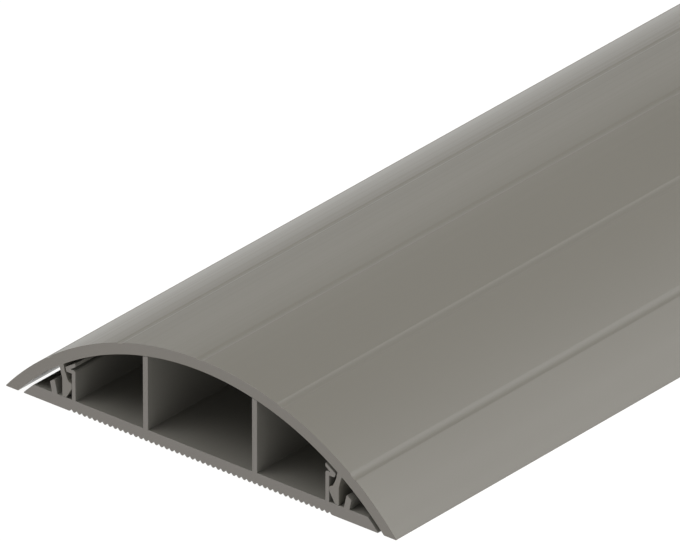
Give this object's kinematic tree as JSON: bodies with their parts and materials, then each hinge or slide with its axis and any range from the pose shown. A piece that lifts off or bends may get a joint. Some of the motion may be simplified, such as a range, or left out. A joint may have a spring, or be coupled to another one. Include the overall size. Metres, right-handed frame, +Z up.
{
  "type": "floor cord cover",
  "caption": "Low arched floor cord cover: a ridged base channel with upright dividers and clip walls, under a grooved domed cover that clips on.",
  "frame": {"origin": "on the floor, in the middle of the width and of the length", "axes": "+Y along the length, +X across the width, +Z up from the floor"},
  "size_m": [0.075, 1, 0.0172],
  "materials": {
    "base_pvc": "satin, extruded, warm grey",
    "cover_pvc": "satin, extruded, warm grey"
  },
  "bodies": {
    "root": {"base_channel": "base_pvc", "domed_cover": "cover_pvc"}
  },
  "joints": []
}
